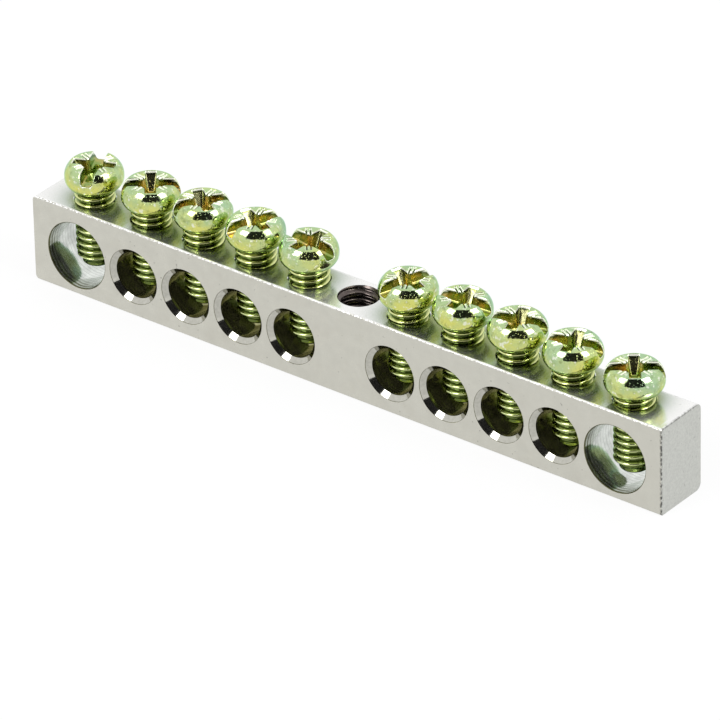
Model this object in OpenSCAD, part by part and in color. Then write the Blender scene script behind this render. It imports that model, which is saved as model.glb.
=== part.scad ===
// Earth terminal bar: a cross-drilled metal bar with ten clamping screws.
// X runs along the bar, Y from the entry face (-Y) to the rear, Z up.
// The origin is at the middle of the flat underside.

/* [Bar] */
// Depth of the bar, from the entry face to the rear face
bar_depth = 6; // [5:0.1:10]
// Metal left below the large holes at the ends
floor_thickness = 0.79; // [0.4:0.01:3]
// Metal left above the large holes at the ends
roof_thickness = 1.47; // [0.8:0.01:5]
// Metal left between a large hole and the end of the bar
end_wall = 1.75; // [0.8:0.05:8]
// Rounding of the two long edges of the entry face
front_edge_r = 0.25; // [0.05:0.05:0.5]
// Rounding of the two long edges of the rear face
rear_edge_r = 0.7; // [0.1:0.05:0.9]
// Rounding of the sheared corners at the left end
end_corner_r = 0.55; // [0.1:0.05:0.7]

/* [Wire holes] */
// Bore of the eight small wire holes
wire_hole_d = 4.7; // [3.6:0.05:5.1]
// Width and depth of the countersink at the mouth of a small wire hole
mouth_chamfer = 0.45; // [0.1:0.05:0.6]
// Bore of the two large holes at the ends
end_hole_d = 6.74; // [5:0.02:7.6]

/* [Mounting hole] */
// Major diameter of the tapped hole in the middle of the bar
mounting_thread_d = 4; // [2.5:0.1:5]
// Space between the mounting hole and the screw heads beside it
mounting_space = 0.92; // [0.3:0.02:5]

/* [Clamp screws] */
// Diameter over the thread crests
thread_d = 3.88; // [3:0.02:4.4]
// Space around the thread crests in the tapped holes, on the radius
thread_clearance = 0.03; // [0.01:0.01:0.08]
// Diameter of the flat point that presses on the wire
point_d = 2.8; // [1.6:0.05:2.9]
// Length of the cylindrical part of the point
point_length = 0.45; // [0.2:0.05:1]
// Height of the cone between the thread and the point
point_cone = 0.45; // [0.2:0.05:1]
// Gap under a head when its point rests on the floor of an empty small hole
seated_gap = 1.27; // [0.8:0.01:3]

/* [Screw heads] */
// Largest diameter of a head
head_d = 5.62; // [5.2:0.02:8]
// Height of a head, from its underside to the top of its crown
head_height = 2.44; // [2.2:0.02:4]
// Height of the rounded lower part of a head, up to its straight side
head_belly = 0.95; // [0.5:0.05:1.1]
// Height of the straight side of a head
head_band = 0.2; // [0.05:0.05:0.4]
// Width of the flat ring around the neck, under the head
head_ledge = 0.36; // [0.05:0.01:0.5]
// How far the shoulder comes in below the edge of the crown, on the radius
crown_edge = 0.57; // [0.2:0.01:0.9]
// Rise of the crown above its edge
crown_rise = 0.06; // [0.02:0.02:0.4]
// Angle through which the shoulder curves before it meets the crown
shoulder_turn = 45; // [20:1:80]
// Angle through which the lower side curves before it meets the underside
belly_turn = 50; // [20:1:80]
// Space between neighbouring heads, which sets the spacing of the small holes
head_space = 0.58; // [0.3:0.02:5]
// Space between the last two heads at each end, over the large hole
end_head_space = 1.18; // [0.8:0.02:6]

/* [Driver recess] */
// Width of the through slot at the crown
slot_w = 1.4; // [0.8:0.05:1.7]
// Width of the through slot at its floor
slot_floor_w = 0.9; // [0.5:0.05:1.2]
// Depth of the through slot below the crown
slot_depth = 1.2; // [0.7:0.05:1.6]
// Tip-to-tip length of the cross arms at the crown
arm_span = 4.4; // [3.6:0.05:4.7]
// Tip-to-tip length of the cross arms at their floor
arm_floor_span = 3.1; // [1.8:0.05:3.5]
// Width of the cross arms at the crown
arm_w = 1.15; // [0.8:0.05:1.5]
// Width of the cross arms at their floor
arm_floor_w = 0.6; // [0.4:0.05:0.8]
// Depth of the cross arms below the crown
arm_depth = 1.7; // [1.2:0.05:1.9]
// Diameter of the round pit in the middle of the recess, at the crown
pit_d = 2.1; // [1.4:0.05:2.6]
// Diameter of the pit at the floor of the arms
pit_floor_d = 1.5; // [0.8:0.05:1.9]
// Width of each fine mark cut between the arms
mark_w = 0.16; // [0.08:0.01:0.25]
// Distance between the two marks of a pair
mark_gap = 0.36; // [0.28:0.01:0.5]
// Distance from the outer ends of the marks to the edge of the crown
mark_stop = 0.3; // [0.1:0.05:0.8]

/* [Hidden] */
$fn = 64;
fine = 0.01;      // overshoot of a cut past the face that it opens
reach = 2;        // overshoot of long cutters
corner_steps = 6; // flats in a rounded corner

wire_r = wire_hole_d / 2;
mouth_r = wire_r + mouth_chamfer;
end_r = end_hole_d / 2;
thread_r = thread_d / 2;
point_r = point_d / 2;
head_r = head_d / 2;
mounting_r = mounting_thread_d / 2;

// Every hole lies at the height of the large ones
hole_z = floor_thickness + end_r;
bar_height = floor_thickness + end_hole_d + roof_thickness;

// Hole spacing: the heads need more room than the mouths below them
pitch = head_d + head_space;
end_pitch = head_d + end_head_space;
half_centre = mounting_r + mounting_space + head_r;
small_x = [for (i = [0 : 3]) half_centre + i * pitch];
end_x = small_x[3] + end_pitch;
bar_length = 2 * (end_x + end_r + end_wall);
screw_x = [-end_x, -small_x[3], -small_x[2], -small_x[1], -small_x[0],
           small_x[0], small_x[1], small_x[2], small_x[3], end_x];

// A screw is seated when its point touches the floor of a small hole
seated_point_z = hole_z - sqrt(pow(wire_r, 2) - pow(point_r, 2));
seated_head_z = bar_height + seated_gap;
shank_length = seated_head_z - seated_point_z;

// How far each screw is backed out from there, and where its slot points
screw_lift = [0.12, 0.31, 0.5, 0.51, 0.43, 0.21, 0.33, 0.29, 0.1, -0.24];
slot_angle = [113, 38, 54, 66, -6, 70, 6, 18, 16, 38];

crown_edge_r = head_r - crown_edge;
crown_edge_z = head_height - crown_rise;
slot_floor_z = head_height - slot_depth;
arm_floor_z = head_height - arm_depth;
mark_depth = 0.2; // depth of the marks below the top of the crown

// Points of an arc or of a quarter of an ellipse
function arc(cx, cy, rx, ry, from, to, steps) =
    [for (i = [0 : steps]) let (a = from + (to - from) * i / steps)
        [cx + rx * cos(a), cy + ry * sin(a)]];

// Section of the bar across its length: [y, z]
function bar_section() = let (f = front_edge_r, r = rear_edge_r, d = bar_depth / 2)
    concat(arc(-d + f, f, f, f, 180, 270, corner_steps),
           arc(d - r, r, r, r, 270, 360, corner_steps),
           arc(d - r, bar_height - r, r, r, 0, 90, corner_steps),
           arc(-d + f, bar_height - f, f, f, 90, 180, corner_steps));

// Outline of the bar seen from the entry face: [x, z]
function bar_outline() = let (c = end_corner_r, l = bar_length / 2)
    concat(arc(-l + c, c, c, c, 180, 270, corner_steps),
           [[l, 0], [l, bar_height]],
           arc(-l + c, bar_height - c, c, c, 90, 180, corner_steps));

// A cutter along Y through the whole depth
module cross_bore(x, r) {
    translate([x, bar_depth / 2 + reach, hole_z])
        rotate([90, 0, 0])
            cylinder(r = r, h = bar_depth + 2 * reach);
}

// The countersink where a wire enters
module mouth(x) {
    translate([x, -bar_depth / 2 + mouth_chamfer, hole_z])
        rotate([90, 0, 0])
            cylinder(r1 = wire_r, r2 = mouth_r + fine, h = mouth_chamfer + fine);
}

// The tapped hole above a wire hole
module screw_bore(x) {
    translate([x, 0, hole_z])
        cylinder(r = thread_r + thread_clearance, h = bar_height - hole_z + reach);
}

module terminal_bar() {
    color("silver")
        difference() {
            intersection() {
                translate([-bar_length / 2 - reach, 0, 0])
                    rotate([90, 0, 90])
                        linear_extrude(height = bar_length + 2 * reach)
                            polygon(bar_section());
                translate([0, bar_depth / 2 + reach, 0])
                    rotate([90, 0, 0])
                        linear_extrude(height = bar_depth + 2 * reach)
                            polygon(bar_outline());
            }
            for (x = [-end_x, end_x]) cross_bore(x, end_r);
            for (x = small_x, side = [-1, 1]) {
                cross_bore(side * x, wire_r);
                mouth(side * x);
            }
            for (x = screw_x) screw_bore(x);
            translate([0, 0, -reach])
                cylinder(r = mounting_r, h = bar_height + 2 * reach);
        }
}

// The lower side of a head, from the edge of its underside up to its widest place
function lower_side() =
    let (rx = (head_r - thread_r - head_ledge) / (1 - cos(belly_turn)))
        arc(head_r - rx, head_belly, rx, head_belly / sin(belly_turn),
            -belly_turn, 0, corner_steps);

// The shoulder of a head, from its straight side up to the edge of the crown
function shoulder() =
    let (rx = crown_edge / (1 - cos(shoulder_turn)), low = head_belly + head_band)
        arc(head_r - rx, low, rx, (crown_edge_z - low) / sin(shoulder_turn),
            0, shoulder_turn, corner_steps);

// Half outline of a screw: [radius, height], height 0 at the underside of its head
function screw_outline() =
    concat([[0, -shank_length],
            [point_r, -shank_length],
            [point_r, -shank_length + point_length],
            [thread_r, -shank_length + point_length + point_cone],
            [thread_r, 0]],
           lower_side(),
           shoulder(),
           [for (i = [1 : 3]) let (r = crown_edge_r * (1 - i / 3))
               [r, crown_edge_z + crown_rise * (1 - pow(r / crown_edge_r, 2))]]);

// The slot that runs right across the head
module through_slot() {
    rise = reach / slot_depth * (slot_w - slot_floor_w) / 2;
    rotate([90, 0, 90])
        translate([0, 0, -head_d])
            linear_extrude(height = 2 * head_d)
                polygon([[-slot_floor_w / 2, slot_floor_z],
                         [slot_floor_w / 2, slot_floor_z],
                         [slot_w / 2 + rise, head_height + reach],
                         [-slot_w / 2 - rise, head_height + reach]]);
}

// One pair of arms: their floor and their walls slope towards the middle
module arm_pair() {
    span_rise = reach / arm_depth * (arm_span - arm_floor_span) / 2;
    wall_rise = reach / arm_depth * (arm_w - arm_floor_w) / 2;
    intersection() {
        translate([0, head_d, 0])
            rotate([90, 0, 0])
                linear_extrude(height = 2 * head_d)
                    polygon([[-arm_floor_span / 2, arm_floor_z],
                             [arm_floor_span / 2, arm_floor_z],
                             [arm_span / 2 + span_rise, head_height + reach],
                             [-arm_span / 2 - span_rise, head_height + reach]]);
        translate([-head_d, 0, 0])
            rotate([90, 0, 90])
                linear_extrude(height = 2 * head_d)
                    polygon([[-arm_floor_w / 2, arm_floor_z],
                             [arm_floor_w / 2, arm_floor_z],
                             [arm_w / 2 + wall_rise, head_height + reach],
                             [-arm_w / 2 - wall_rise, head_height + reach]]);
    }
}

// The round pit that takes the tip of the driver
module centre_pit() {
    spread = reach / arm_depth * (pit_d - pit_floor_d) / 2;
    translate([0, 0, arm_floor_z])
        cylinder(r1 = pit_floor_d / 2, r2 = pit_d / 2 + spread, h = arm_depth + reach);
}

// Two fine marks in each quarter between the slot and the arms
module quarter_marks() {
    for (quarter = [0 : 3], side = [-1, 1])
        rotate(45 + 90 * quarter)
            translate([0, side * mark_gap / 2 - mark_w / 2, head_height - mark_depth])
                cube([crown_edge_r - mark_stop, mark_w, mark_depth + reach]);
}

module clamp_screw(index) {
    color("yellowgreen")
        translate([screw_x[index], 0, seated_head_z + screw_lift[index]])
            rotate(slot_angle[index])
                difference() {
                    rotate_extrude()
                        polygon(screw_outline());
                    through_slot();
                    arm_pair();
                    rotate(90) arm_pair();
                    centre_pit();
                    quarter_marks();
                }
}

terminal_bar();
clamp_screw(0);  // clamp_screw_01
clamp_screw(1);  // clamp_screw_02
clamp_screw(2);  // clamp_screw_03
clamp_screw(3);  // clamp_screw_04
clamp_screw(4);  // clamp_screw_05
clamp_screw(5);  // clamp_screw_06
clamp_screw(6);  // clamp_screw_07
clamp_screw(7);  // clamp_screw_08
clamp_screw(8);  // clamp_screw_09
clamp_screw(9);  // clamp_screw_10
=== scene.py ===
"""Dresses an earth terminal bar: the nickelled bar, its plated clamping screws and a small studio."""

import math

import bmesh
import bpy
from bpy.props import FloatProperty, FloatVectorProperty, IntProperty, PointerProperty
from mathutils import Matrix, Vector


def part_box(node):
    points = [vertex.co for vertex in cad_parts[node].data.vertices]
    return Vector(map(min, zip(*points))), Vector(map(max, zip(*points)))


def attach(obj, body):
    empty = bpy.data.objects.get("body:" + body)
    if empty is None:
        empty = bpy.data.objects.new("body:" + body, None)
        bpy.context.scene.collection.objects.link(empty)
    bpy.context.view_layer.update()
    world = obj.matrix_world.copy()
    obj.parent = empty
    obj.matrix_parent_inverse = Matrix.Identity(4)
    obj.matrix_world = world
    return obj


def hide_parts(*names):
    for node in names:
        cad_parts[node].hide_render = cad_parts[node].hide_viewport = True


bl_info = {
    "name": "Earth Terminal Bar",
    "version": (1, 0, 0),
    "blender": (4, 5, 0),
    "location": "View3D > Sidebar > Terminal Bar",
    "description": "Builds a cross-drilled terminal bar with its clamping screws, and lights it",
    "category": "Object",
}

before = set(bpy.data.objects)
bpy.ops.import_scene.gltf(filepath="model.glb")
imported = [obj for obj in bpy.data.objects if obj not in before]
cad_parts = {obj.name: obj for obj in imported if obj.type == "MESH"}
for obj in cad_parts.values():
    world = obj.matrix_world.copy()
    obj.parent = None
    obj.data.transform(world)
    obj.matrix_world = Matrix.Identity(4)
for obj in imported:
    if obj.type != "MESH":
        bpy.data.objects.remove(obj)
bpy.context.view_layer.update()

MM = 0.001
BAR_NODE = "terminal_bar"
SCREW_NODES = sorted(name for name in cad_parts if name.startswith("clamp_screw_"))
# How far the slot of each screw is turned from the length of the bar, from the left end
SLOT_DEGREES = (113, 38, 54, 66, -6, 70, 6, 18, 16, 38)
# Degrees of the side curves of a head at the kinks where they meet the underside and the crown
LOW_TURN, TOP_TURN = 50, 45
# Width of the ring under a head, heights of its belly and upright band, and rise of its crown, in mm
LEDGE, BELLY, BAND, CROWN_RISE = 0.36, 0.95, 0.2, 0.06
# Depth of a thread as a share of its pitch, and the flat share of its crest and of its root
THREAD_DEPTH, THREAD_FLAT = 0.54, 0.08
# Slots of the finishes on the bar
SATIN, SMOOTH, SAWN, REAMED, TURNED, TAPPED, SHADED_BORE, WORN_AND_HIGHLIT = range(8)


# Sizes and colours --------------------


def length_setting(name, description, millimetres):
    """A length that a user can change."""
    return FloatProperty(
        name=name, description=description, default=millimetres * MM, unit="LENGTH")


def colour_setting(name, description, colour):
    """A colour that a user can change."""
    return FloatVectorProperty(
        name=name, description=description, default=colour, size=3, subtype="COLOR")


class BarSettings(bpy.types.PropertyGroup):
    """Sizes and colours of the drilled bar."""

    small_bore: length_setting("Small wire hole", "Diameter of the small wire holes", 4.7)
    mouth_chamfer: length_setting("Mouth", "Width of the countersink at a small wire hole", 0.45)
    end_bore: length_setting("Large wire hole", "Diameter of the wire hole near each end", 6.74)
    hole_height: length_setting("Hole height", "Height of the wire holes above the underside", 4.16)
    tapped_bore: length_setting("Tapped hole", "Diameter of the holes that hold the screws", 3.94)
    mounting_bore: length_setting(
        "Mounting thread", "Major diameter of the thread in the mounting hole", 4.0)
    front_edge: length_setting("Front edge", "Radius along the front long edges", 0.23)
    rear_edge: length_setting("Rear edge", "Radius along the rear long edges", 0.7)
    corner: length_setting("Left corners", "Radius of the sheared corners at the left end", 0.55)
    face_colour: colour_setting(
        "Nickel", "Colour of the satin nickel on the long faces", (0.72, 0.71, 0.635))
    end_colour: colour_setting("Sawn ends", "Colour of the nickel on the sawn ends", (0.67, 0.68, 0.64))
    top_colour: colour_setting(
        "Top face", "Colour of the smoother nickel on the top face", (0.90, 0.895, 0.885))
    # Painted shade and painted green reflection of the screws on the top face between them
    painted_top_shade: colour_setting(
        "Shaded top", "Green cast of the top face between the screws", (0.19, 0.30, 0.19))
    # Painted shade and painted olive reflection of the screws on the top face at their feet
    painted_foot_shade: colour_setting(
        "Foot of the screws", "Olive cast of the top face round the screws", (0.24, 0.28, 0.07))
    bore_colour: colour_setting(
        "Bored metal", "Colour of the reamed walls of the wire holes", (0.77, 0.80, 0.76))
    # Painted shade: the walls of the small wire holes get a darker olive colour
    small_bore_shade: colour_setting(
        "Stained bore", "Olive tint of the walls of the small wire holes", (0.37, 0.36, 0.17))


class ScrewSettings(bpy.types.PropertyGroup):
    """Sizes and colours of the clamping screws."""

    pitch: length_setting("Pitch", "Distance between neighbouring turns of the thread", 0.7)
    crest: length_setting("Crest diameter", "Diameter over the crests of the thread", 3.88)
    root: length_setting("Root diameter", "Diameter at the roots of the thread", 3.1)
    point: length_setting("Point diameter", "Diameter of the flat point", 2.8)
    head_height: length_setting("Head height", "Height of the head above its underside", 2.44)
    crown_edge: length_setting("Crown edge", "Radius at which the crown turns into the shoulder", 2.25)
    slot_width: length_setting("Slot width", "Width of the through slot at the crown", 1.4)
    slot_floor: length_setting("Slot floor", "Width of the through slot above its round floor", 1.15)
    slot_depth: length_setting("Slot depth", "Depth of the through slot below the crown", 1.2)
    arm_depth: length_setting("Cross depth", "Depth of the cross below the crown", 1.7)
    arm_span: length_setting("Cross span", "Length of the cross at the crown, from tip to tip", 4.4)
    arm_width: length_setting("Cross width", "Width of the arms of the cross at the crown", 1.15)
    voxel: length_setting("Detail", "Size of the cells that round off the struck edges", 0.045)
    soften: IntProperty(
        name="Softening", description="Passes that soften the struck edges",
        default=3, min=0, max=20)
    mint: colour_setting(
        "Mint", "Pale green of the plating on the shoulder and crown", (0.48, 0.62, 0.31))
    lime: colour_setting("Lime", "Yellow-green of the plating on the flank", (0.73, 0.74, 0.20))
    olive: colour_setting("Olive", "Colour of the plating on the thread", (0.73, 0.76, 0.34))
    amber: colour_setting("Amber", "Orange-brown of the plating inside the recess", (0.64, 0.47, 0.15))
    moss: colour_setting("Moss", "Green of the plating inside the recess", (0.28, 0.37, 0.10))
    straw: colour_setting("Straw", "Yellow of the plating at the ends of the cross", (0.42, 0.42, 0.20))
    teal: colour_setting("Teal", "Blue-green that drifts over the plating", (0.35, 0.58, 0.43))


class StageSettings(bpy.types.PropertyGroup):
    """The floor, the lights and the camera."""

    azimuth: FloatProperty(
        name="Azimuth", description="Turn of the camera about the upright axis, from the front",
        default=math.radians(38.454), subtype="ANGLE")
    elevation: FloatProperty(
        name="Elevation", description="Height of the camera above the horizon",
        default=math.radians(30.479), subtype="ANGLE")
    roll: FloatProperty(
        name="Roll", description="Tilt of the camera about its line of sight",
        default=math.radians(-1.266), subtype="ANGLE")
    distance: length_setting("Distance", "Distance of the camera from the aim plane", 759.56)
    aim_side: length_setting("Aim sideways", "Aim point to the right of the origin", -0.077)
    aim_up: length_setting("Aim up", "Aim point above the origin", 1.907)
    lens: FloatProperty(
        name="Lens", description="Focal length of the camera", default=413.83, unit="CAMERA")
    room: FloatProperty(
        name="Room", description="Brightness of the white room", default=1.0, min=0.0)
    floor_shine: FloatProperty(
        name="Floor in metal", description="Brightness of the floor as the metal mirrors it",
        default=0.85, min=0.0)


def bar_settings():
    """The settings of the bar."""
    return bpy.context.scene.terminal_bar_settings


def screw_settings():
    """The settings of the screws."""
    return bpy.context.scene.clamp_screw_settings


def stage_settings():
    """The settings of the stage."""
    return bpy.context.scene.bar_stage_settings


# Meshes, in millimetres ---------------


def arc(centre, radii, start, end, steps):
    """Points of an arc or of a quarter of an ellipse, from start to end in degrees."""
    angles = [math.radians(start + (end - start) * i / steps) for i in range(steps + 1)]
    return [(centre[0] + radii[0] * math.cos(a), centre[1] + radii[1] * math.sin(a)) for a in angles]


def prism(outline, length, place):
    """A solid along Z from 0 to length with that outline, moved by the matrix place."""
    made = bmesh.new()
    low = [made.verts.new((x, y, 0)) for x, y in outline]
    high = [made.verts.new((x, y, length)) for x, y in outline]
    made.faces.new(reversed(low))
    made.faces.new(high)
    for i in range(len(outline)):
        j = (i + 1) % len(outline)
        made.faces.new((low[i], low[j], high[j], high[i]))
    bmesh.ops.transform(made, matrix=place, verts=made.verts)
    return made


def lathe(outline, segments, place=None, slots=None):
    """A turned solid about Z: outline runs from the axis to the axis as (radius, height).

    slots gives the material slot of the band that follows each point.
    """
    made = bmesh.new()
    rings = []
    for radius, height in outline:
        if radius < 1e-6:
            rings.append([made.verts.new((0, 0, height))])
            continue
        turns = [2 * math.pi * k / segments for k in range(segments)]
        points = [(radius * math.cos(t), radius * math.sin(t), height) for t in turns]
        rings.append([made.verts.new(point) for point in points])
    for index, (a, b) in enumerate(zip(rings, rings[1:])):
        for k in range(segments):
            m = (k + 1) % segments
            corners = [a[k % len(a)], a[m % len(a)], b[m % len(b)], b[k % len(b)]]
            face = made.faces.new(list(dict.fromkeys(corners)))
            face.material_index = slots[index] if slots else 0
    bmesh.ops.recalc_face_normals(made, faces=made.faces)
    if place:
        bmesh.ops.transform(made, matrix=place, verts=made.verts)
    return made


def new_mesh(name, made):
    """A mesh with what the bmesh holds, which goes."""
    mesh = bpy.data.meshes.new(name)
    made.to_mesh(mesh)
    made.free()
    return mesh


def joined(meshes):
    """One bmesh that holds all the given meshes, which go."""
    whole = bmesh.new()
    for mesh in meshes:
        whole.from_mesh(mesh)
        bpy.data.meshes.remove(mesh)
    return whole


def add_object(name, data):
    """A linked object that holds a mesh, a lamp or a camera."""
    piece = bpy.data.objects.new(name, data)
    bpy.context.scene.collection.objects.link(piece)
    return piece


def new_object(name, made, materials=()):
    """A linked object with what the bmesh holds, and its materials."""
    mesh = new_mesh(name, made)
    for material in materials:
        mesh.materials.append(material)
    return add_object(name, mesh)


def apply_modifiers(piece):
    """Makes what the modifiers of the piece do a part of its mesh."""
    graph = bpy.context.evaluated_depsgraph_get()
    mesh = bpy.data.meshes.new_from_object(piece.evaluated_get(graph))
    piece.modifiers.clear()
    old = piece.data
    piece.data = mesh
    bpy.data.meshes.remove(old)


def combine(piece, cutter, operation):
    """Cuts, joins or intersects the piece with the cutter, which goes."""
    step = piece.modifiers.new("combine", "BOOLEAN")
    step.operation = operation
    step.object = cutter
    step.solver = "EXACT"
    step.material_mode = "TRANSFER"
    apply_modifiers(piece)
    bpy.data.objects.remove(cutter)


def scale_to_metres(mesh):
    """Turns a mesh in millimetres into metres."""
    mesh.transform(Matrix.Scale(MM, 4))


def smooth_shading(piece, sharp_degrees):
    """Smooth shading with sharp edges, where large faces keep their own direction."""
    piece.data.shade_smooth()
    piece.data.set_sharp_from_angle(angle=math.radians(sharp_degrees))
    step = piece.modifiers.new("weighted", "WEIGHTED_NORMAL")
    step.keep_sharp = True
    step.weight = 80
    apply_modifiers(piece)


def thread_surface(radius_at, pitch, low, high, segments=72, steps=12, inward=False):
    """A helical surface about Z from low to high.

    radius_at takes the place in the turn, from 0 to 1, and the height, and gives the radius.
    """
    made = bmesh.new()
    first = math.floor(low / pitch) - 2
    rows = (math.ceil(high / pitch) + 2 - first) * steps
    grid = []
    for row in range(rows + 1):
        ring = []
        for k in range(segments):
            height = (first + row / steps + k / segments) * pitch
            height = min(max(height, low), high)
            radius = radius_at((row % steps) / steps, height)
            turn = 2 * math.pi * k / segments
            ring.append(made.verts.new((radius * math.cos(turn), radius * math.sin(turn), height)))
        grid.append(ring)
    for row in range(rows - steps):
        for k in range(segments):
            wrap = k + 1 == segments
            after = grid[row + steps if wrap else row][0 if wrap else k + 1]
            above = grid[row + 1 + steps if wrap else row + 1][0 if wrap else k + 1]
            face = (grid[row][k], after, above, grid[row + 1][k])
            made.faces.new(reversed(face) if inward else face)
    bmesh.ops.remove_doubles(made, verts=made.verts, dist=1e-4)
    bmesh.ops.dissolve_degenerate(made, edges=made.edges, dist=1e-4)
    return made


# Materials ----------------------------


def plug(tree, socket, value):
    """Links the socket to another one, or sets it to a plain value."""
    if isinstance(value, bpy.types.NodeSocket):
        tree.links.new(value, socket)
    else:
        socket.default_value = value


def feed(tree, node, **inputs):
    """Links or sets the named inputs of a node."""
    for name, value in inputs.items():
        plug(tree, node.inputs[name.replace("_", " ")], value)


def add_node(tree, kind, settings=None, **inputs):
    """A node with its settings, and with its inputs linked or set."""
    made = tree.nodes.new(kind)
    for name, value in (settings or {}).items():
        setattr(made, name, value)
    feed(tree, made, **inputs)
    return made


def new_material(name):
    """A material with a bare Principled shader, and its node tree."""
    material = bpy.data.materials.new(name)
    material.use_nodes = True
    return material, material.node_tree


def object_place(tree):
    """The socket that gives the place on the object."""
    return add_node(tree, "ShaderNodeTexCoord").outputs["Object"]


def coordinate(tree, place, axis):
    """One coordinate of a place."""
    return add_node(tree, "ShaderNodeSeparateXYZ", Vector=place).outputs[axis]


def noise(tree, place, scale, detail=2.0, roughness=0.5):
    """A noise between 0 and 1, with scale in grains per metre."""
    made = add_node(
        tree, "ShaderNodeTexNoise", Vector=place, Scale=scale, Detail=detail, Roughness=roughness)
    return made.outputs["Fac"]


def ramp(tree, value, low, high, start=0.0, end=1.0):
    """value from low to high mapped onto start to end, and held there."""
    made = add_node(tree, "ShaderNodeMapRange", {"clamp": True}, Value=value)
    for name, number in (("From Min", low), ("From Max", high), ("To Min", start), ("To Max", end)):
        made.inputs[name].default_value = number
    return made.outputs["Result"]


def mix_colour(tree, amount, first, second):
    """Two colours mixed by amount."""
    made = add_node(tree, "ShaderNodeMix", {"data_type": "RGBA"}, Factor=amount)
    for socket, value in ((made.inputs[6], first), (made.inputs[7], second)):
        linked = isinstance(value, bpy.types.NodeSocket)
        plug(tree, socket, value if linked else (*value, 1.0))
    return made.outputs[2]


def combine_values(tree, operation, first, second, kind="ShaderNodeMath"):
    """A Math node, or a Vector Math node, on two values."""
    made = add_node(tree, kind, {"operation": operation})
    plug(tree, made.inputs[0], first)
    plug(tree, made.inputs[1], second)
    return made.outputs[0]


def finish(material, toned, rough, relief, depth, metallic=1.0, strength=1.0, **others):
    """The material with its colour, roughness and metallic share, and bumps of depth in metres."""
    tree = material.node_tree
    bumps = add_node(tree, "ShaderNodeBump", Height=relief, Distance=depth, Strength=strength)
    feed(tree, tree.nodes["Principled BSDF"], Base_Color=toned, Roughness=rough,
         Metallic=metallic, Normal=bumps.outputs["Normal"], **others)
    return material


def darker(colour, share):
    """A colour with its light cut to a share."""
    return tuple(part * share for part in colour)


def edge_wear(tree, place, axis, at, reach, toned, colour):
    """toned, with nicks of another colour where place comes within reach of at on one axis."""
    away = combine_values(tree, "SUBTRACT", coordinate(tree, place, axis), at)
    distance = combine_values(tree, "ABSOLUTE", away, 0.0)
    near = ramp(tree, distance, 0.4 * reach, reach, 1.0, 0.0)
    nicks = ramp(tree, noise(tree, place, 3000, 3, 0.7), 0.4, 0.56)
    return mix_colour(tree, combine_values(tree, "MULTIPLY", near, nicks), toned, colour)


def face_material():
    """Satin nickel of the long faces: fine grain, soft clouds, stray specks and painted shade towards
    the right end.
    """
    material, tree = new_material("satin_nickel")
    colour = bar_settings().face_colour
    low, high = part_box(BAR_NODE)
    place = object_place(tree)
    clouds = ramp(tree, noise(tree, place, 700, 4, 0.6), 0.35, 0.65)
    grain = noise(tree, place, 8000, 3, 0.6)
    specks = ramp(tree, noise(tree, place, 2600, 1), 0.74, 0.8)
    toned = mix_colour(tree, clouds, darker(colour, 0.93), darker(colour, 1.05))
    # Painted shade: the long faces darken towards the right end
    painted_falloff = ramp(tree, coordinate(tree, place, "X"), low[0], high[0], 0.0, 0.4)
    toned = mix_colour(tree, painted_falloff, toned, darker(colour, 0.82))
    mottle = ramp(tree, noise(tree, place, 320, 4, 0.65), 0.5, 0.72, 0.0, 0.25)
    tarnish = (0.50, 0.46, 0.37)
    toned = mix_colour(tree, mottle, toned, tarnish)
    toned = mix_colour(tree, ramp(tree, grain, 0.35, 0.65), darker(colour, 0.9), toned)
    toned = mix_colour(tree, specks, toned, darker(colour, 0.5))
    toned = edge_wear(tree, place, "X", high[0], 0.2 * MM, toned, darker(colour, 0.2))
    rough = ramp(tree, grain, 0.2, 0.8, 0.36, 0.5)
    return finish(material, toned, rough, grain, 0.014 * MM)


def top_material():
    """Smoother nickel of the top face, which mirrors the screws, with painted shade and a painted olive
    and green reflection of the screws round and between them.
    """
    material, tree = new_material("smooth_nickel")
    settings = bar_settings()
    colour = settings.top_colour
    right_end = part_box(BAR_NODE)[1][0]
    place = object_place(tree)
    grain = noise(tree, place, 7000, 2)
    specks = ramp(tree, noise(tree, place, 2200, 2), 0.7, 0.76)
    toned = mix_colour(tree, ramp(tree, grain, 0.3, 0.7), darker(colour, 0.95), colour)
    toned = mix_colour(tree, specks, toned, darker(colour, 0.55))
    toned = edge_wear(tree, place, "X", right_end, 0.2 * MM, toned, darker(colour, 0.55))
    # Painted shade and painted reflection: where ambient occlusion finds the screws near, the top is
    # darkened, olive at their feet and green between them
    open_air = add_node(
        tree, "ShaderNodeAmbientOcclusion", {"samples": 12}, Distance=4 * MM).outputs["AO"]
    near = ramp(tree, open_air, 0.35, 0.66)
    shaded = mix_colour(tree, near, settings.painted_foot_shade, settings.painted_top_shade)
    toned = mix_colour(tree, ramp(tree, open_air, 0.4, 0.88), shaded, toned)
    rough = ramp(tree, grain, 0.2, 0.8, 0.15, 0.23)
    metallic = ramp(tree, open_air, 0.45, 0.95, 1.0, 0.75)
    drawn = combine_values(tree, "MULTIPLY", place, (1.0, 0.08, 1.0), "ShaderNodeVectorMath")
    return finish(material, toned, rough, noise(tree, drawn, 4200, 2), 0.01 * MM, metallic)


def edge_material():
    """The broken front edge, bright where the nickel is worn and dull between; the bright colour is
    also a painted highlight along the rounded edge.
    """
    material, tree = new_material("worn_edge_nickel")
    dull = darker(bar_settings().face_colour, 0.6)
    # Painted highlight and wear: the bright colour stands in for the highlight along the edge, broken
    # by nicks
    bright = (0.93, 0.925, 0.90)
    nicks = noise(tree, object_place(tree), 3400, 3, 0.7)
    toned = mix_colour(tree, ramp(tree, nicks, 0.4, 0.6), dull, bright)
    rough = ramp(tree, nicks, 0.3, 0.7, 0.42, 0.15)
    return finish(material, toned, rough, nicks, 0.05 * MM)


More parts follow.
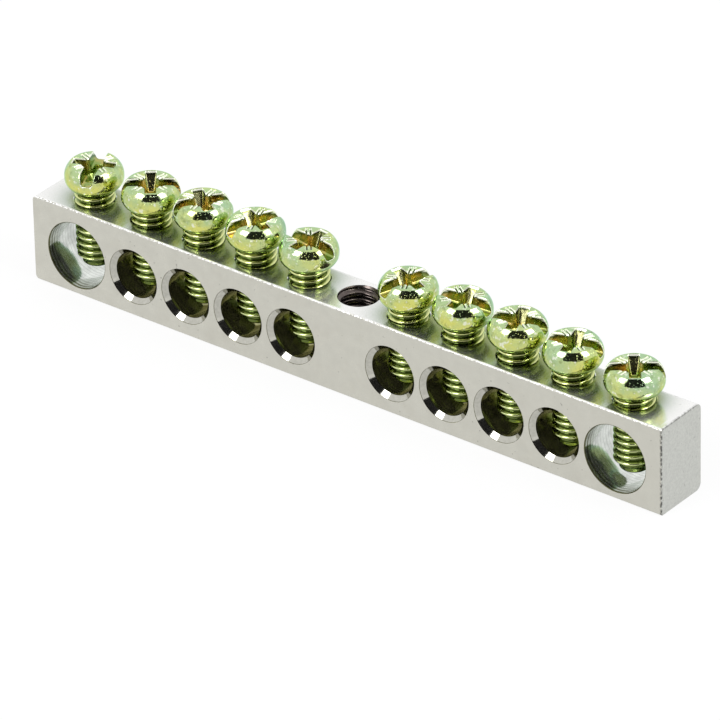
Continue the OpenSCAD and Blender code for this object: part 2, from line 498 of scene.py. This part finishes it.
def sawn_material():
    """The sawn ends: paler nickel over a rough cut, with dark edges."""
    material, tree = new_material("sawn_nickel")
    colour = bar_settings().end_colour
    low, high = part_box(BAR_NODE)
    place = object_place(tree)
    grain = noise(tree, place, 4200, 4, 0.65)
    pits = ramp(tree, noise(tree, place, 3600, 2), 0.66, 0.74, 0.0, 0.6)
    rubbed = ramp(tree, grain, 0.35, 0.65)
    toned = mix_colour(tree, rubbed, darker(colour, 0.88), darker(colour, 1.03))
    toned = mix_colour(tree, pits, toned, darker(colour, 0.6))
    for axis, at, share in (("Y", low[1], 0.15), ("Z", high[2], 0.4)):
        toned = edge_wear(tree, place, axis, at, 0.22 * MM, toned, darker(colour, share))
    rough = ramp(tree, grain, 0.2, 0.8, 0.38, 0.55)
    return finish(material, toned, rough, grain, 0.04 * MM)


def bore_material(name, colour, dark_share):
    """Reamed walls with fine rings round the axis of the hole and clouds down to dark_share, and
    painted shade near the front mouth.
    """
    material, tree = new_material(name)
    place = object_place(tree)
    rings = add_node(
        tree, "ShaderNodeTexWave", {"bands_direction": "Y"},
        Vector=place, Scale=800, Distortion=2.0, Detail=3.0, Detail_Scale=1.0).outputs["Fac"]
    clouds = noise(tree, place, 1000, 2)
    drift = ramp(tree, clouds, 0.35, 0.65)
    toned = mix_colour(tree, drift, darker(colour, dark_share), darker(colour, 1.06))
    toned = mix_colour(tree, ramp(tree, rings, 0.85, 1.0, 0.0, 0.3), toned, darker(colour, 0.3))
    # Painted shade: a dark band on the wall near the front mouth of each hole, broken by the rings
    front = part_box(BAR_NODE)[0][1]
    depth = coordinate(tree, place, "Y")
    near = ramp(tree, depth, front + 0.3 * MM, front + 1.6 * MM, 1.0, 0.0)
    front_shade = combine_values(tree, "MULTIPLY", near, ramp(tree, rings, 0.3, 0.7, 0.35, 1.0))
    front_shade_colour = (0.11, 0.11, 0.05)
    toned = mix_colour(tree, front_shade, toned, front_shade_colour)
    rough = ramp(tree, clouds, 0.2, 0.8, 0.06, 0.12)
    return finish(material, toned, rough, rings, 0.0006 * MM, metallic=0.9)


def cloudy_metal(name, first, second, rough):
    """Clean metal with faint clouds between two colours."""
    material, tree = new_material(name)
    clouds = noise(tree, object_place(tree), 3000, 2)
    toned = mix_colour(tree, ramp(tree, clouds, 0.3, 0.7), first, second)
    return finish(material, toned, rough, clouds, 0.002 * MM)


def mouth_material():
    """The bright turned countersinks."""
    colour = bar_settings().face_colour
    return cloudy_metal("turned_nickel", darker(colour, 0.66), darker(colour, 0.78), 0.08)


def thread_material():
    """The tapped wall of the mounting hole, with painted shade: it is coloured dark because little
    light reaches it.
    """
    colour = (0.15, 0.125, 0.115)
    return cloudy_metal("tapped_metal", darker(colour, 0.7), colour, 0.25)


def attribute(tree, name):
    """The socket of a value stored at the points of a mesh."""
    return add_node(tree, "ShaderNodeAttribute", {"attribute_name": name}).outputs["Fac"]


def own_place(tree):
    """The place on a screw, moved by a different amount for each screw, for its noises."""
    number = add_node(tree, "ShaderNodeObjectInfo").outputs["Random"]
    shift = combine_values(tree, "MULTIPLY", number, 0.4)
    return combine_values(tree, "ADD", object_place(tree), shift, "ShaderNodeVectorMath")


def outer_colour(tree, place, height):
    """Mint on the crown and lime on the flank, with teal, stains and specks; and the patches."""
    settings = screw_settings()
    patches = noise(tree, place, 480, 3, 0.6)
    drift = noise(tree, place, 260, 2)
    climb = ramp(tree, height, 0.5 * MM, 2.3 * MM)
    climb = combine_values(tree, "ADD", climb, ramp(tree, patches, 0.35, 0.65, -0.5, 0.5))
    outer = mix_colour(tree, ramp(tree, climb, 0.0, 1.0), settings.lime, settings.mint)
    outer = mix_colour(tree, ramp(tree, drift, 0.48, 0.66, 0.0, 0.42), outer, settings.teal)
    stains = ramp(tree, noise(tree, place, 1500, 4, 0.65), 0.3, 0.48, 0.55, 0.0)
    outer = mix_colour(tree, stains, outer, darker(settings.moss, 0.6))
    specks = ramp(tree, noise(tree, place, 2400, 3), 0.58, 0.68, 0.0, 0.7)
    speck_colour = (0.95, 0.97, 0.84)
    return mix_colour(tree, specks, outer, speck_colour), patches


def plating_relief(tree, place):
    """Shallow dents, fine grain and stray pits of the plated surface."""
    relief = combine_values(tree, "MULTIPLY", noise(tree, place, 900, 2), 0.55)
    for scale, share in ((2600, 0.22), (8500, 0.07)):
        layer = combine_values(tree, "MULTIPLY", noise(tree, place, scale, 2), share)
        relief = combine_values(tree, "ADD", relief, layer)
    pits = ramp(tree, noise(tree, place, 6500, 1), 0.66, 0.74, 0.0, -0.22)
    return combine_values(tree, "ADD", relief, pits)


def plating_material():
    """Yellow-green passivated zinc: mint on top, lime on the flank, amber in the recess.

    The struck rim is pale and less metallic as a painted highlight, and painted shade outlines the
    recess darkly and darkens the roots of the thread and the underside of the head.
    """
    material, tree = new_material("green_passivated_zinc")
    settings = screw_settings()
    place = own_place(tree)
    height = coordinate(tree, object_place(tree), "Z")
    below, wing = attribute(tree, "recess"), attribute(tree, "wing")
    outer, patches = outer_colour(tree, place, height)
    inner = mix_colour(tree, ramp(tree, patches, 0.42, 0.58), settings.amber, settings.moss)
    inner = mix_colour(tree, wing, inner, settings.straw)
    # Painted shade: a dark moss line just inside the rim of the recess
    inner = mix_colour(tree, ramp(tree, below, 0.26, 0.42), darker(settings.moss, 0.35), inner)
    # Painted highlight: the struck rim is pale and less metallic, a bright line round the recess
    rim_highlight_mask = ramp(tree, below, 0.03, 0.08)
    rim_highlight_colour = (0.96, 0.98, 0.84)
    head = mix_colour(tree, rim_highlight_mask, outer, rim_highlight_colour)
    head = mix_colour(tree, ramp(tree, below, 0.16, 0.24), head, inner)
    # Painted shade: the underside of the head is darker moss
    under = ramp(tree, height, 0.02 * MM, 0.2 * MM, 0.35, 1.0)
    head = mix_colour(tree, under, darker(settings.moss, 0.5), head)
    tip = ramp(tree, height, -4 * MM, -1.6 * MM, 0.4, 0.0)
    thread = mix_colour(tree, tip, settings.olive, settings.mint)
    # Painted shade in the roots of the thread: dark moss between the crests
    stand = ramp(tree, attribute(tree, "crest"), 0.28, 0.88)
    shank = mix_colour(tree, stand, darker(settings.moss, 0.45), thread)
    above = ramp(tree, height, -0.06 * MM, 0.02 * MM)
    toned = mix_colour(tree, above, shank, head)
    rough = ramp(tree, noise(tree, place, 2600, 2), 0.2, 0.8, 0.06, 0.12)
    for more in (ramp(tree, below, 0.2, 0.5, 0.0, 0.06), ramp(tree, wing, 0.0, 1.0, 0.0, 0.07)):
        rough = combine_values(tree, "ADD", rough, more)
    rolled = combine_values(tree, "MULTIPLY", rim_highlight_mask, ramp(tree, below, 0.16, 0.24, 0.65, 0.0))
    metallic = combine_values(tree, "SUBTRACT", 1.0, rolled)
    return finish(material, toned, rough, plating_relief(tree, place), 0.06 * MM, metallic,
                  strength=0.8, Specular_Tint=(0.78, 1.0, 0.94, 1.0))


# The bar ------------------------------


def bar_corners():
    """Lowest and highest corner of the bar in millimetres."""
    low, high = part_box(BAR_NODE)
    return Vector(low) / MM, Vector(high) / MM


def screw_axes():
    """The place of each screw along the bar in millimetres, from the left end."""
    places = []
    for name in SCREW_NODES:
        low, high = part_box(name)
        places.append((low[0] + high[0]) / 2 / MM)
    return places


def along_x(start):
    """Turns a prism with its outline as (Y, Z) so that it runs along X from start."""
    return Matrix(((0, 0, 1, start), (1, 0, 0, 0), (0, 1, 0, 0), (0, 0, 0, 1)))


def bar_blank():
    """The undrilled bar: its rounded section limited by its outline from the front."""
    settings = bar_settings()
    low, high = bar_corners()
    front, rear, corner = (v / MM for v in (settings.front_edge, settings.rear_edge, settings.corner))
    section = (
        arc((low.y + front, low.z + front), (front, front), 180, 270, 8)
        + arc((high.y - rear, low.z + rear), (rear, rear), 270, 360, 10)
        + arc((high.y - rear, high.z - rear), (rear, rear), 0, 90, 10)
        + arc((low.y + front, high.z - front), (front, front), 90, 180, 8))
    outline = (
        arc((low.x + corner, low.z + corner), (corner, corner), 180, 270, 10)
        + [(high.x, low.z), (high.x, high.z)]
        + arc((low.x + corner, high.z - corner), (corner, corner), 90, 180, 10))
    along_y = Matrix(((1, 0, 0, 0), (0, 0, -1, high.y + 1), (0, 1, 0, 0), (0, 0, 0, 1)))
    blank = new_object("nickelled_bar", prism(section, high.x - low.x + 2, along_x(low.x - 1)))
    limit = new_object("outline", prism(outline, high.y - low.y + 2, along_y))
    combine(blank, limit, "INTERSECT")
    soft = blank.modifiers.new("soft", "BEVEL")
    soft.width = 0.07
    soft.segments = 2
    soft.limit_method = "ANGLE"
    soft.angle_limit = math.radians(40)
    apply_modifiers(blank)
    return blank


def paint_faces(mesh, high):
    """Gives each face of the blank its finish."""
    square, slanted = 0.8, 0.15  # how much of its direction a face has along an axis
    skin = 0.2  # how far below the top its smooth faces lie
    for face in mesh.polygons:
        if face.normal.z > square and face.center.z > high.z - skin:
            face.material_index = SMOOTH
        elif face.normal.x > square:
            face.material_index = SAWN
        elif face.normal.y < -slanted and face.normal.z > slanted:
            face.material_index = WORN_AND_HIGHLIT
        else:
            face.material_index = SATIN


def bar_finishes():
    """The materials of the bar in the order of their slots, SATIN to WORN_AND_HIGHLIT."""
    settings = bar_settings()
    return [
        face_material(), top_material(), sawn_material(),
        bore_material("reamed_nickel", settings.bore_colour, 0.8),
        mouth_material(), thread_material(),
        bore_material("stained_reamed_nickel", settings.small_bore_shade, 0.6), edge_material()]


def wire_hole_cutters(low, high):
    """The cutters of the cross holes: plain at the ends, countersunk between."""
    settings = bar_settings()
    small, large = settings.small_bore / MM / 2, settings.end_bore / MM / 2
    chamfer, height = settings.mouth_chamfer / MM, settings.hole_height / MM
    depth = high.y - low.y
    rim, rear = 0.04, 0.06  # worn lips of a hole at the front and at the rear
    places = screw_axes()
    cutters = []
    for index, x in enumerate(places):
        at_end = index in (0, len(places) - 1)
        # The small holes take the darker olive walls, which are painted shade
        radius, edge, wall = (large, 0.05, REAMED) if at_end else (small, chamfer, SHADED_BORE)
        outline = [
            (0, -1), (radius + edge + 1, -1), (radius + edge + rim, -0.02), (radius + edge, rim),
            (radius, edge), (radius, depth - rear), (radius + rear + 1, depth + 1), (0, depth + 1)]
        slots = [wall] * 3 + [wall if at_end else TURNED] + [wall] * 3
        place = Matrix(((1, 0, 0, x), (0, 0, 1, low.y), (0, -1, 0, height), (0, 0, 0, 1)))
        cutters.append(new_mesh("cutter", lathe(outline, 128, place, slots)))
    return joined(cutters)


def upright_cutters(high):
    """The cutters of the tapped holes over the wire holes, and of the mounting hole."""
    settings = bar_settings()
    radius, height = settings.tapped_bore / MM / 2, settings.hole_height / MM
    mounting = settings.mounting_bore / MM / 2
    lip = 0.08
    outline = [(0, height), (radius, height), (radius, high.z - lip),
               (radius + lip, high.z), (radius + lip, high.z + 1), (0, high.z + 1)]
    slots = [REAMED] * 5
    cutters = [lathe(outline, 96, Matrix.Translation((x, 0, 0)), slots) for x in screw_axes()]
    outline = [(0, -1), (mounting, -1), (mounting, high.z + 1), (0, high.z + 1)]
    cutters.append(lathe(outline, 96, None, [REAMED] * 3))
    return joined(new_mesh("cutter", cutter) for cutter in cutters)


def mounting_thread(high):
    """The turns of thread in the mounting hole, from its mouth to its foot."""
    pitch = screw_settings().pitch / MM
    major = bar_settings().mounting_bore / MM / 2
    depth = THREAD_DEPTH * pitch
    lip, slope = 0.02, 0.9  # where the lead-in starts, and how steeply it closes

    def radius_at(place, height):
        radius = major - depth * thread_form(place)
        lead_in = major - max(0.0, min(height, high.z - height) - lip) * slope
        return max(radius, lead_in)

    return thread_surface(radius_at, pitch, 0.0, high.z, inward=True)


def thread_form(place):
    """Height of a rolled thread in its turn: 0 in the root and 1 on the crest."""
    swing = 0.5 - 0.5 * math.cos(2 * math.pi * place)
    return min(1.0, max(0.0, (swing - THREAD_FLAT) / (1 - 2 * THREAD_FLAT)))


class TERMINALBAR_OT_bar(bpy.types.Operator):
    """Build the drilled bar with its finishes and the thread of its mounting hole"""

    bl_idname = "terminalbar.bar"
    bl_label = "Bar"

    def execute(self, context):
        low, high = bar_corners()
        piece = bar_blank()
        finishes = bar_finishes()
        piece.data.materials.clear()
        for material in finishes:
            piece.data.materials.append(material)
        paint_faces(piece.data, high)
        for cutters in (wire_hole_cutters(low, high), upright_cutters(high)):
            combine(piece, new_object("cutters", cutters, finishes), "DIFFERENCE")
        smooth_shading(piece, 30)
        thread = new_object("mounting_thread", mounting_thread(high), [finishes[TAPPED]])
        thread.data.shade_smooth()
        for body in (piece, thread):
            scale_to_metres(body.data)
            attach(body, "bar")
        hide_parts(BAR_NODE)
        return {"FINISHED"}


# The screws ---------------------------


def head_curves():
    """The two side curves of a head as (middle radius, middle height, radial and upright reach)."""
    settings = screw_settings()
    low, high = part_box(SCREW_NODES[0])
    head = (high[0] - low[0]) / 2 / MM
    edge, height = settings.crown_edge / MM, settings.head_height / MM
    ledge = settings.crest / MM / 2 + LEDGE
    base = BELLY + BAND
    under, turn = math.radians(LOW_TURN), math.radians(TOP_TURN)
    wide = (head - ledge) / (1 - math.cos(under))
    lower = (head - wide, BELLY, wide, BELLY / math.sin(under))
    wide = (head - edge) / (1 - math.cos(turn))
    upper = (head - wide, base, wide, (height - CROWN_RISE - base) / math.sin(turn))
    return lower, upper


def unstruck_height(radius, shoulder):
    """Height of a head at a radius before it is struck, up to where its side stands upright."""
    settings = screw_settings()
    edge, height = settings.crown_edge / MM, settings.head_height / MM
    if radius < edge:
        return height - CROWN_RISE * (radius / edge) ** 2
    middle, base, wide, tall = shoulder
    return base + tall * math.sqrt(max(0.0, 1 - ((radius - middle) / wide) ** 2))


def head_outline():
    """Half outline of a head: (radius, height above its underside)."""
    lower, upper = head_curves()
    edge = screw_settings().crown_edge / MM
    low_side = arc(lower[:2], lower[2:], -LOW_TURN, 0, 16)
    shoulder = arc(upper[:2], upper[2:], 0, TOP_TURN, 20)
    radii = [edge * (1 - i / 10) for i in range(1, 11)]
    crown = [(radius, unstruck_height(radius, upper)) for radius in radii]
    return [(0, 0)] + low_side + shoulder + crown


def frustum(low_size, high_size, low, high):
    """A solid with a rectangle (along X, along Y) at each of two heights."""
    made = bmesh.new()
    corners = []
    for (width, depth), z in ((low_size, low), (high_size, high)):
        corners.append([made.verts.new((sx * width / 2, sy * depth / 2, z))
                        for sx, sy in ((-1, -1), (1, -1), (1, 1), (-1, 1))])
    made.faces.new(reversed(corners[0]))
    made.faces.new(corners[1])
    for i in range(4):
        j = (i + 1) % 4
        made.faces.new((corners[0][i], corners[0][j], corners[1][j], corners[1][i]))
    return made


def slot_cutter(crown):
    """The through slot along X: round in its floor and flared at the crown."""
    settings = screw_settings()
    wide, floor = settings.slot_width / MM / 2, settings.slot_floor / MM / 2
    bottom, bend = crown - settings.slot_depth / MM, 0.3
    side = (arc((floor - bend, bottom + bend), (bend, bend), 270, 360, 6)
            + [(wide - 0.04, crown - 0.5), (wide, crown - 0.15), (wide + 0.1, crown),
               (wide + 0.6, crown + 0.5)])
    outline = side + [(-y, z) for y, z in reversed(side)]
    reach = 4
    return prism(outline, 2 * reach, along_x(-reach))


def arm_cutter(crown, turned):
    """One pair of arms of the cross, along X or along Y, that falls steeply at its ends."""
    settings = screw_settings()
    depth, span, wide = (v / MM for v in (settings.arm_depth, settings.arm_span, settings.arm_width))
    rise = (depth + 1.0) / depth
    flare = 0.5 if turned else 0.3  # share of the span that the slopes at both ends take
    draft = 0.48  # share of the width that the slopes of both walls take
    low_size = ((1 - flare) * span, (1 - draft) * wide)
    high_size = (low_size[0] + flare * span * rise, low_size[1] + draft * wide * rise)
    arm = frustum(low_size, high_size, crown - depth, crown + 1.0)
    if turned:
        bmesh.ops.rotate(arm, matrix=Matrix.Rotation(math.pi / 2, 3, "Z"), verts=arm.verts)
    return arm


def mark_cutter(crown, degrees, side):
    """One fine groove beside the diagonal between two arms."""
    mark = frustum((1.1, 0.05), (1.4, 0.5), crown - 0.32, crown + 0.2)
    middle, half_gap = 1.4, 0.19
    bmesh.ops.translate(mark, vec=(middle, side * half_gap, 0), verts=mark.verts)
    turn = Matrix.Rotation(math.radians(degrees), 3, "Z")
    bmesh.ops.rotate(mark, matrix=turn, verts=mark.verts)
    return mark


def recess_cutters():
    """The struck recess: slot, cross, a pit for the tip of the driver, and fine marks."""
    settings = screw_settings()
    crown = settings.head_height / MM
    # Outline of the pit: (radius, depth below the crown)
    below = ((0, 2.05), (0.3, 2.05), (0.75, 1.6), (0.97, 0.6), (1.05, 0.25), (1.2, 0.08), (1.5, 0),
             (1.5, -0.5), (0, -0.5))
    pit = [(radius, crown - depth) for radius, depth in below]
    cutters = [slot_cutter(crown), arm_cutter(crown, False), arm_cutter(crown, True), lathe(pit, 48)]
    for quarter in range(4):
        for side in (-1, 1):
            cutters.append(mark_cutter(crown, 45 + 90 * quarter, side))
    return cutters


def mark_recess(mesh):
    """Stores how far each point lies below the unstruck head, and the ends of the cross."""
    depth = mesh.attributes.new("recess", "FLOAT", "POINT")
    wing = mesh.attributes.new("wing", "FLOAT", "POINT")
    shoulder = head_curves()[1]
    flank_radius, flank_top = 2.3, 1.2  # beyond and below these a point lies on the flank
    arm_side, arm_start = 0.75, 1.25  # the ends of the cross lie within and beyond these
    for point in mesh.vertices:
        radius = math.hypot(point.co.x, point.co.y)
        below = unstruck_height(radius, shoulder) - point.co.z
        if radius > flank_radius and point.co.z < flank_top:
            below = 0.0
        at_end = abs(point.co.x) < arm_side and abs(point.co.y) > arm_start
        depth.data[point.index].value = max(0.0, below)
        wing.data[point.index].value = 1.0 if at_end and below > 0.2 else 0.0


def struck_head():
    """The mesh of a head, struck, rounded off and thinned out."""
    settings = screw_settings()
    piece = new_object("head", lathe(head_outline(), 160))
    for index, cutter in enumerate(recess_cutters()):
        combine(piece, new_object("cutter_%d" % index, cutter), "DIFFERENCE")
    cells = piece.modifiers.new("cells", "REMESH")
    cells.mode = "VOXEL"
    cells.voxel_size = settings.voxel / MM
    soften = piece.modifiers.new("soften", "SMOOTH")
    soften.factor = 0.5
    soften.iterations = settings.soften
    thin = piece.modifiers.new("thin", "DECIMATE")
    thin.ratio = 0.4
    apply_modifiers(piece)
    piece.data.shade_smooth()
    mark_recess(piece.data)
    mesh = piece.data
    bpy.data.objects.remove(piece)
    return mesh


def screw_shank(length):
    """The threaded shank, from its point at -length up to the head at 0."""
    settings = screw_settings()
    pitch = settings.pitch / MM
    crest, root, point = (v / MM / 2 for v in (settings.crest, settings.root, settings.point))
    straight, bevel, tuck = 0.45, 0.12, 0.05  # of the point, of its rim, and into the head

    def radius_at(place, height):
        radius = root + (crest - root) * thread_form(place)
        above = height + length
        limit = point - (bevel - above) if above < bevel else point + max(0.0, above - straight)
        return min(radius, limit)

    shank = thread_surface(radius_at, pitch, -length, tuck)
    cap = bmesh.new()
    bmesh.ops.create_circle(cap, cap_ends=True, segments=72, radius=point - bevel)
    bmesh.ops.translate(cap, vec=(0, 0, -length), verts=cap.verts)
    bmesh.ops.reverse_faces(cap, faces=cap.faces)
    return joined([new_mesh("thread", shank), new_mesh("cap", cap)])


def mark_crest(mesh):
    """Stores how far each point of the shank stands out from the root, from 0 to 1."""
    settings = screw_settings()
    root, crest = settings.root / MM / 2, settings.crest / MM / 2
    stands = mesh.attributes.new("crest", "FLOAT", "POINT")
    for point in mesh.vertices:
        out = (math.hypot(point.co.x, point.co.y) - root) / (crest - root)
        stands.data[point.index].value = min(1.0, max(0.0, out))


def whole_screw(length):
    """The mesh of a screw in metres: head and shank, marked for the plating."""
    head = struck_head()
    shank = new_mesh("shank", screw_shank(length))
    shank.shade_smooth()
    mark_crest(shank)
    mesh = new_mesh("clamp_screw", joined([head, shank]))
    mesh.materials.append(plating_material())
    scale_to_metres(mesh)
    return mesh


class TERMINALBAR_OT_screws(bpy.types.Operator):
    """Build the clamping screws, all from one struck head and one shank"""

    bl_idname = "terminalbar.screws"
    bl_label = "Clamping screws"

    def execute(self, context):
        head_height = screw_settings().head_height
        low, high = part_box(SCREW_NODES[0])
        mesh = whole_screw((high[2] - low[2] - head_height) / MM)
        for name, degrees in zip(SCREW_NODES, SLOT_DEGREES):
            low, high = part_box(name)
            turned = mesh.copy()
            turned.transform(Matrix.Rotation(math.radians(degrees), 4, "Z"))
            piece = add_object(name.replace("clamp", "plated"), turned)
            foot = high[2] - head_height
            piece.location = ((low[0] + high[0]) / 2, (low[1] + high[1]) / 2, foot)
            context.view_layer.update()
            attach(piece, name.replace("clamp_", ""))
            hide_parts(name)
        return {"FINISHED"}


# The stage ----------------------------


def sight_axes():
    """The directions to the right, up and back of the camera."""
    settings = stage_settings()
    az, el, roll = settings.azimuth, settings.elevation, settings.roll
    back = Vector((math.sin(az) * math.cos(el), -math.cos(az) * math.cos(el), math.sin(el)))
    right = Vector((math.cos(az), math.sin(az), 0))
    up = back.cross(right)
    return (right * math.cos(roll) + up * math.sin(roll),
            up * math.cos(roll) - right * math.sin(roll), back)


def toward(azimuth, elevation, distance):
    """A point in a direction given in degrees, as the camera's azimuth and elevation are."""
    az, el = math.radians(azimuth), math.radians(elevation)
    return Vector((math.sin(az) * math.cos(el), -math.cos(az) * math.cos(el), math.sin(el))) * distance


def facing(place, target):
    """A matrix at place whose +Z points away from target, as a lamp or camera needs."""
    back = (place - target).normalized()
    right = Vector((0, 0, 1)).cross(back).normalized()
    up = back.cross(right)
    turn = Matrix((right, up, back)).transposed().to_4x4()
    return Matrix.Translation(place) @ turn


def mix_shaders(tree, share, first, second):
    """Two shader nodes mixed, with share of the second."""
    made = add_node(tree, "ShaderNodeMixShader")
    for socket, value in zip(made.inputs, (share, first.outputs[0], second.outputs[0])):
        plug(tree, socket, value)
    return made


def floor_material():
    """A white floor that keeps a faint shadow, is greyer in the metal and clear from below."""
    material, tree = new_material("white_floor")
    tree.nodes.clear()
    rays = add_node(tree, "ShaderNodeLightPath")
    paint = add_node(tree, "ShaderNodeBsdfDiffuse", Color=(0.8, 0.8, 0.8, 1))
    plain, mirrored = rays.outputs["Is Camera Ray"], rays.outputs["Is Glossy Ray"]
    shine = combine_values(tree, "MULTIPLY", mirrored, stage_settings().floor_shine)
    glow = add_node(
        tree, "ShaderNodeEmission", Strength=combine_values(tree, "ADD", plain, shine))
    seen = combine_values(tree, "MAXIMUM", plain, mirrored)
    glow_share = combine_values(tree, "MULTIPLY", seen, 0.88)
    upper = mix_shaders(tree, glow_share, paint, glow)
    below = add_node(tree, "ShaderNodeNewGeometry").outputs["Backfacing"]
    sides = mix_shaders(tree, below, upper, add_node(tree, "ShaderNodeBsdfTransparent"))
    add_node(tree, "ShaderNodeOutputMaterial", Surface=sides.outputs[0])
    return material


def black_material():
    """Matt black for the screen round the camera."""
    material, tree = new_material("matt_black")
    feed(tree, tree.nodes["Principled BSDF"], Base_Color=(0.01, 0.01, 0.01, 1), Roughness=1.0)
    return material


def dark_screen(reach):
    """The unlit gap between the soft boxes: a band from the camera up over the bar.

    Only the metal sees it. It is widest at the foot and narrows overhead.
    """
    right, _, _ = sight_axes()
    azimuth = math.degrees(stage_settings().azimuth)
    made = bmesh.new()
    rungs = []
    # All in degrees: the half width, what it loses over the rise, and where the loss starts
    widest, narrowing, rise, start = 38, 11, 54, 12
    for elevation in (9.5 + 6 * rung for rung in range(10)):
        spread = widest - narrowing * max(0.0, (elevation - start) / rise)
        middle = toward(azimuth, elevation, reach)
        side = right * reach * math.tan(math.radians(spread))
        rungs.append((made.verts.new(middle - side), made.verts.new(middle + side)))
    for low, high in zip(rungs, rungs[1:]):
        made.faces.new((low[0], low[1], high[1], high[0]))
    piece = new_object("dark_screen", made, [black_material()])
    for setting in ("visible_camera", "visible_diffuse", "visible_shadow", "visible_transmission"):
        setattr(piece, setting, False)


def lamp(name, place, width, height, power):
    """A soft box that looks at the bar."""
    light = bpy.data.lights.new(name, "AREA")
    light.shape = "RECTANGLE"
    light.size = width
    light.size_y = height
    light.energy = power
    middle_of_bar = Vector((0, 0, 0.008))
    add_object(name, light).matrix_world = facing(place, middle_of_bar)


def white_room():
    """The world: white for the camera and in the metal."""
    world = bpy.data.worlds.new("white_room")
    world.use_nodes = True
    tree = world.node_tree
    feed(tree, tree.nodes["Background"], Color=(1, 1, 1, 1), Strength=stage_settings().room)
    bpy.context.scene.world = world


def aim_camera():
    """The camera, with its line of sight through the aim point."""
    settings = stage_settings()
    right, up, back = sight_axes()
    camera = bpy.data.cameras.new("camera")
    camera.sensor_width = 36.0
    camera.lens = settings.lens
    camera.clip_start = 0.01
    camera.clip_end = 20.0
    piece = add_object("camera", camera)
    aim = right * settings.aim_side + up * settings.aim_up
    turn = Matrix((right, up, back)).transposed().to_4x4()
    piece.matrix_world = Matrix.Translation(aim + back * settings.distance) @ turn
    bpy.context.scene.camera = piece


class TERMINALBAR_OT_stage(bpy.types.Operator):
    """Build the floor, the soft boxes, the dark screen and the camera"""

    bl_idname = "terminalbar.stage"
    bl_label = "Stage"

    def execute(self, context):
        context.scene.view_settings.view_transform = "Standard"
        made = bmesh.new()
        bmesh.ops.create_grid(made, x_segments=1, y_segments=1, size=3.0)
        bmesh.ops.translate(made, vec=(0, 0, -0.02 * MM), verts=made.verts)
        floor = new_object("floor", made, [floor_material()])
        white_room()
        azimuth = math.degrees(stage_settings().azimuth)
        dark_screen(reach=0.9)
        for name, turn in (("left_box", -55), ("right_box", 55)):
            place = toward(azimuth + turn, elevation=40, distance=0.8)
            lamp(name, place, width=0.32, height=0.4, power=2.2)
        aim_camera()
        return {"FINISHED"}


# The add-on ---------------------------


class TERMINALBAR_PT_panel(bpy.types.Panel):
    """Lists the steps that build the terminal bar"""

    bl_idname = "TERMINALBAR_PT_panel"
    bl_label = "Earth Terminal Bar"
    bl_space_type = "VIEW_3D"
    bl_region_type = "UI"
    bl_category = "Terminal Bar"

    def draw(self, context):
        for operator in OPERATORS:
            self.layout.operator(operator.bl_idname)


OPERATORS = (TERMINALBAR_OT_bar, TERMINALBAR_OT_screws, TERMINALBAR_OT_stage)
SETTINGS = (
    ("terminal_bar_settings", BarSettings),
    ("clamp_screw_settings", ScrewSettings),
    ("bar_stage_settings", StageSettings),
)
CLASSES = tuple(group for _, group in SETTINGS) + OPERATORS + (TERMINALBAR_PT_panel,)


def register():
    """Adds the classes and the settings to Blender."""
    for item in CLASSES:
        bpy.utils.register_class(item)
    for name, group in SETTINGS:
        setattr(bpy.types.Scene, name, PointerProperty(type=group))


def unregister():
    """Takes the settings and the classes out again."""
    for name, _ in SETTINGS:
        delattr(bpy.types.Scene, name)
    for item in reversed(CLASSES):
        bpy.utils.unregister_class(item)


def main():
    """Builds every piece and the stage."""
    register()
    bpy.ops.terminalbar.bar()
    bpy.ops.terminalbar.screws()
    bpy.ops.terminalbar.stage()


if __name__ == "__main__":
    main()
